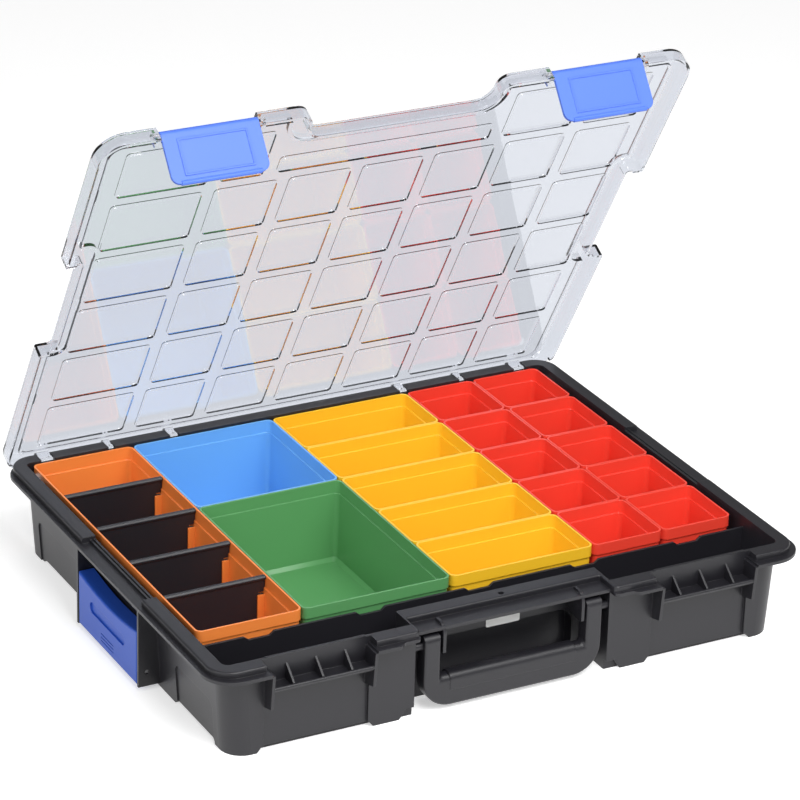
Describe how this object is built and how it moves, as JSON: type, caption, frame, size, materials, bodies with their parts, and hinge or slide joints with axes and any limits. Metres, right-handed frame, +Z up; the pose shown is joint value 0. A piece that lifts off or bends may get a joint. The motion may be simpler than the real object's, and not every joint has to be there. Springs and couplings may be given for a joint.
{
  "type": "assortment case",
  "caption": "Plastic assortment case with an open clear lid on back hinges, coloured lift-out boxes, front compartments, a carrying handle, front latches and side clips.",
  "frame": {"origin": "middle of the tray's footprint, rim lip to rim lip, on the plane that the case stands on", "axes": "+X to the right seen from the handle side, +Y from the handle to the lid's hinge, +Z up"},
  "size_m": [0.436, 0.3564, 0.3605],
  "materials": {
    "black_plastic": "moulded with a fine matt grain",
    "clear_plastic": "clear and glossy, faintly blue",
    "blue_plastic": "satin moulded",
    "pin_steel": "plain drawn pin",
    "label_film": "bare film",
    "orange_plastic": "glossy moulded",
    "light_blue_plastic": "glossy moulded",
    "green_plastic": "glossy moulded",
    "yellow_plastic": "glossy moulded",
    "red_plastic": "glossy moulded",
    "divider_plastic": "moulded with a soft sheen"
  },
  "bodies": {
    "base": {"case_base": "black_plastic", "side_clip_pin_left": "pin_steel", "side_clip_pin_right": "pin_steel", "recess_label": "label_film"},
    "lid": {"lid": "clear_plastic"},
    "latch_pin_left": {"latch_pin_left": "pin_steel"},
    "latch_left": {"latch_left": "blue_plastic"},
    "side_clip_left": {"side_clip_left": "blue_plastic"},
    "latch_pin_right": {"latch_pin_right": "pin_steel"},
    "latch_right": {"latch_right": "blue_plastic"},
    "side_clip_right": {"side_clip_right": "blue_plastic"},
    "handle": {"carrying_handle": "black_plastic"},
    "orange_long_box": {"orange_long_box": "orange_plastic"},
    "blue_box": {"blue_box": "light_blue_plastic"},
    "green_box": {"green_box": "green_plastic"},
    "yellow_box_1": {"yellow_box_1": "yellow_plastic"},
    "yellow_box_2": {"yellow_box_2": "yellow_plastic"},
    "yellow_box_3": {"yellow_box_3": "yellow_plastic"},
    "yellow_box_4": {"yellow_box_4": "yellow_plastic"},
    "yellow_box_5": {"yellow_box_5": "yellow_plastic"},
    "red_box_1": {"red_box_1": "red_plastic"},
    "red_box_2": {"red_box_2": "red_plastic"},
    "red_box_3": {"red_box_3": "red_plastic"},
    "red_box_4": {"red_box_4": "red_plastic"},
    "red_box_5": {"red_box_5": "red_plastic"},
    "red_box_6": {"red_box_6": "red_plastic"},
    "red_box_7": {"red_box_7": "red_plastic"},
    "red_box_8": {"red_box_8": "red_plastic"},
    "red_box_9": {"red_box_9": "red_plastic"},
    "red_box_10": {"red_box_10": "red_plastic"},
    "divider_1": {"divider_1": "divider_plastic"},
    "divider_2": {"divider_2": "divider_plastic"},
    "divider_3": {"divider_3": "divider_plastic"},
    "divider_4": {"divider_4": "divider_plastic"}
  },
  "joints": [
    {"name": "lid_hinge", "type": "hinge", "parent": "base", "child": "lid", "pos_m": [0, 0.1677, 0.0602], "axis": [-1, 0, 0], "range_deg": [-59.8, 45.2]},
    {"name": "latch_pin_left_turn", "type": "hinge", "parent": "lid", "child": "latch_pin_left", "pos_m": [-0.1415, 0.00283, 0.35521], "axis": [-1, 0, 0], "range_deg": [-28.1, 37.1]},
    {"name": "latch_left_flap", "type": "hinge", "parent": "latch_pin_left", "child": "latch_left", "pos_m": [-0.1415, 0.00283, 0.35521], "axis": [-1, 0, 0], "range_deg": [-6, 80]},
    {"name": "side_clip_left_hinge", "type": "hinge", "parent": "base", "child": "side_clip_left", "pos_m": [-0.212, -0.0081, 0.0135], "axis": [0, -1, 0], "range_deg": [0, 75]},
    {"name": "latch_pin_right_turn", "type": "hinge", "parent": "lid", "child": "latch_pin_right", "pos_m": [0.1415, 0.00283, 0.35521], "axis": [-1, 0, 0], "range_deg": [-28.1, 37.1]},
    {"name": "latch_right_flap", "type": "hinge", "parent": "latch_pin_right", "child": "latch_right", "pos_m": [0.1415, 0.00283, 0.35521], "axis": [-1, 0, 0], "range_deg": [-6, 80]},
    {"name": "side_clip_right_hinge", "type": "hinge", "parent": "base", "child": "side_clip_right", "pos_m": [0.212, -0.0081, 0.0135], "axis": [0, 1, 0], "range_deg": [0, 75]},
    {"name": "handle_hinge", "type": "hinge", "parent": "base", "child": "handle", "pos_m": [0, -0.1581, 0.048], "axis": [-1, 0, 0], "range_deg": [0, 90]},
    {"name": "orange_long_box_lift", "type": "slide", "parent": "base", "child": "orange_long_box", "axis": [0, 0, 1], "range_m": [0, 0.018]},
    {"name": "blue_box_lift", "type": "slide", "parent": "base", "child": "blue_box", "axis": [0, 0, 1], "range_m": [0, 0.018]},
    {"name": "green_box_lift", "type": "slide", "parent": "base", "child": "green_box", "axis": [0, 0, 1], "range_m": [0, 0.065]},
    {"name": "yellow_box_1_lift", "type": "slide", "parent": "base", "child": "yellow_box_1", "axis": [0, 0, 1], "range_m": [0, 0.018]},
    {"name": "yellow_box_2_lift", "type": "slide", "parent": "base", "child": "yellow_box_2", "axis": [0, 0, 1], "range_m": [0, 0.065]},
    {"name": "yellow_box_3_lift", "type": "slide", "parent": "base", "child": "yellow_box_3", "axis": [0, 0, 1], "range_m": [0, 0.065]},
    {"name": "yellow_box_4_lift", "type": "slide", "parent": "base", "child": "yellow_box_4", "axis": [0, 0, 1], "range_m": [0, 0.065]},
    {"name": "yellow_box_5_lift", "type": "slide", "parent": "base", "child": "yellow_box_5", "axis": [0, 0, 1], "range_m": [0, 0.065]},
    {"name": "red_box_1_lift", "type": "slide", "parent": "base", "child": "red_box_1", "axis": [0, 0, 1], "range_m": [0, 0.018]},
    {"name": "red_box_2_lift", "type": "slide", "parent": "base", "child": "red_box_2", "axis": [0, 0, 1], "range_m": [0, 0.065]},
    {"name": "red_box_3_lift", "type": "slide", "parent": "base", "child": "red_box_3", "axis": [0, 0, 1], "range_m": [0, 0.065]},
    {"name": "red_box_4_lift", "type": "slide", "parent": "base", "child": "red_box_4", "axis": [0, 0, 1], "range_m": [0, 0.065]},
    {"name": "red_box_5_lift", "type": "slide", "parent": "base", "child": "red_box_5", "axis": [0, 0, 1], "range_m": [0, 0.065]},
    {"name": "red_box_6_lift", "type": "slide", "parent": "base", "child": "red_box_6", "axis": [0, 0, 1], "range_m": [0, 0.018]},
    {"name": "red_box_7_lift", "type": "slide", "parent": "base", "child": "red_box_7", "axis": [0, 0, 1], "range_m": [0, 0.065]},
    {"name": "red_box_8_lift", "type": "slide", "parent": "base", "child": "red_box_8", "axis": [0, 0, 1], "range_m": [0, 0.065]},
    {"name": "red_box_9_lift", "type": "slide", "parent": "base", "child": "red_box_9", "axis": [0, 0, 1], "range_m": [0, 0.065]},
    {"name": "red_box_10_lift", "type": "slide", "parent": "base", "child": "red_box_10", "axis": [0, 0, 1], "range_m": [0, 0.065]},
    {"name": "divider_1_lift", "type": "slide", "parent": "orange_long_box", "child": "divider_1", "axis": [0, 0, 1], "range_m": [0, 0.06]},
    {"name": "divider_2_lift", "type": "slide", "parent": "orange_long_box", "child": "divider_2", "axis": [0, 0, 1], "range_m": [0, 0.06]},
    {"name": "divider_3_lift", "type": "slide", "parent": "orange_long_box", "child": "divider_3", "axis": [0, 0, 1], "range_m": [0, 0.06]},
    {"name": "divider_4_lift", "type": "slide", "parent": "orange_long_box", "child": "divider_4", "axis": [0, 0, 1], "range_m": [0, 0.06]}
  ],
  "couplings": [
    {"joint": "latch_pin_left_turn", "follows": "lid_hinge", "ratio": -0.6187},
    {"joint": "latch_pin_right_turn", "follows": "lid_hinge", "ratio": -0.6187}
  ]
}
